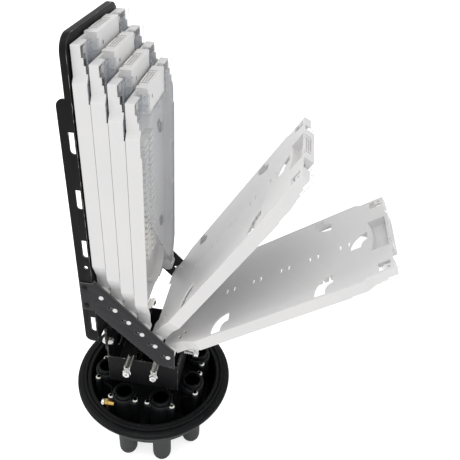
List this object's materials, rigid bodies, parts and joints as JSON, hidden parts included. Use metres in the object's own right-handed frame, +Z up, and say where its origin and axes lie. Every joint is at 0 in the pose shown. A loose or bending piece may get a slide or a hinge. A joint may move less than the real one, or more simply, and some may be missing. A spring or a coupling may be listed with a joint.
{
  "type": "fibre optic splice closure",
  "caption": "Dome-type fibre splice closure without its dome: round base with cable ports, folded steel frame and hinged splice trays that tilt forwards.",
  "frame": {"origin": "axis of the round base, in the flat underside from which the ports hang", "axes": "+Z up through the trays; the trays open towards -Y; +X along the hinge lines"},
  "size_m": [0.21, 0.3727, 0.586],
  "materials": {
    "black_moulding": "satin moulded, glossy in the dish",
    "seal_rubber": "matte",
    "collar_moulding": "satin",
    "zinc_steel": "zinc plated",
    "bright_steel": "nickel plated",
    "rivet_steel": "black",
    "brass": "turned",
    "black_steel": "fine powder coat",
    "white_abs": "satin moulded",
    "clear_cover": "clear, slightly grey",
    "holder_white": "satin moulded"
  },
  "bodies": {
    "root": {"base_shell": "black_moulding", "seal_ring": "seal_rubber", "port_collars": "collar_moulding", "collar_screws": "zinc_steel", "earth_post": "brass", "standoffs": "zinc_steel", "lower_bracket": "black_steel", "bracket_screws": "zinc_steel", "back_frame": "black_steel", "frame_bolts": "zinc_steel", "frame_nuts": "zinc_steel", "near_hinge_plate": "black_steel", "far_hinge_plate": "black_steel", "hinge_rivets": "rivet_steel", "near_clamps": "zinc_steel", "far_clamps": "zinc_steel", "front_clamps": "zinc_steel"},
    "earth_screw": {"earth_screw": "zinc_steel"},
    "clamp_screw_1": {"clamp_screw_1": "bright_steel"},
    "tray_1": {"tray_1": "white_abs", "cover_1": "clear_cover", "splice_holders_1": "holder_white"},
    "clamp_screw_2": {"clamp_screw_2": "bright_steel"},
    "tray_2": {"tray_2": "white_abs", "cover_2": "clear_cover", "splice_holders_2": "holder_white"},
    "clamp_screw_3": {"clamp_screw_3": "bright_steel"},
    "tray_3": {"tray_3": "white_abs", "cover_3": "clear_cover", "splice_holders_3": "holder_white"},
    "clamp_screw_4": {"clamp_screw_4": "bright_steel"},
    "tray_4": {"tray_4": "white_abs", "cover_4": "clear_cover", "splice_holders_4": "holder_white"},
    "clamp_screw_5": {"clamp_screw_5": "bright_steel"},
    "tray_5": {"tray_5": "white_abs", "cover_5": "clear_cover", "splice_holders_5": "holder_white"},
    "clamp_screw_6": {"clamp_screw_6": "bright_steel"},
    "tray_6": {"tray_6": "white_abs", "cover_6": "clear_cover", "splice_holders_6": "holder_white"}
  },
  "joints": [
    {"name": "tray_1_hinge", "type": "hinge", "parent": "root", "child": "tray_1", "pos_m": [0, 0.0375, 0.239], "axis": [1, 0, 0], "range_deg": [0, 7]},
    {"name": "tray_2_hinge", "type": "hinge", "parent": "root", "child": "tray_2", "pos_m": [0, 0.0225, 0.223], "axis": [1, 0, 0], "range_deg": [0, 14]},
    {"name": "tray_3_hinge", "type": "hinge", "parent": "root", "child": "tray_3", "pos_m": [0, 0.0075, 0.207], "axis": [1, 0, 0], "range_deg": [0, 21]},
    {"name": "tray_4_hinge", "type": "hinge", "parent": "root", "child": "tray_4", "pos_m": [0, -0.0075, 0.191], "axis": [1, 0, 0], "range_deg": [0, 28]},
    {"name": "tray_5_hinge", "type": "hinge", "parent": "root", "child": "tray_5", "pos_m": [0, -0.0225, 0.175], "axis": [1, 0, 0], "range_deg": [-31, 20.7]},
    {"name": "tray_6_hinge", "type": "hinge", "parent": "root", "child": "tray_6", "pos_m": [0, -0.0375, 0.159], "axis": [1, 0, 0], "range_deg": [-54, 36]},
    {"name": "clamp_screw_1_turn", "type": "hinge", "parent": "root", "child": "clamp_screw_1", "pos_m": [-0.0475, 0.017, 0.111], "axis": [-1, 0, 0], "range_deg": [0, 720]},
    {"name": "clamp_screw_2_turn", "type": "hinge", "parent": "root", "child": "clamp_screw_2", "pos_m": [-0.0475, -0.017, 0.111], "axis": [-1, 0, 0], "range_deg": [0, 720]},
    {"name": "clamp_screw_3_turn", "type": "hinge", "parent": "root", "child": "clamp_screw_3", "pos_m": [-0.017, -0.044, 0.111], "axis": [0, -1, 0], "range_deg": [0, 720]},
    {"name": "clamp_screw_4_turn", "type": "hinge", "parent": "root", "child": "clamp_screw_4", "pos_m": [0.017, -0.044, 0.111], "axis": [0, -1, 0], "range_deg": [0, 720]},
    {"name": "clamp_screw_5_turn", "type": "hinge", "parent": "root", "child": "clamp_screw_5", "pos_m": [0.0475, -0.017, 0.111], "axis": [1, 0, 0], "range_deg": [0, 720]},
    {"name": "clamp_screw_6_turn", "type": "hinge", "parent": "root", "child": "clamp_screw_6", "pos_m": [0.0475, 0.017, 0.111], "axis": [1, 0, 0], "range_deg": [0, 720]},
    {"name": "earth_screw_turn", "type": "hinge", "parent": "root", "child": "earth_screw", "pos_m": [-0.074, 0.046, 0.0592], "axis": [0, 1, 0], "range_deg": [0, 720]}
  ],
  "couplings": [
    {"joint": "tray_1_hinge", "follows": "tray_4_hinge", "ratio": 0.25},
    {"joint": "tray_2_hinge", "follows": "tray_4_hinge", "ratio": 0.5},
    {"joint": "tray_3_hinge", "follows": "tray_4_hinge", "ratio": 0.75},
    {"joint": "tray_5_hinge", "follows": "tray_6_hinge", "ratio": 0.57407}
  ]
}
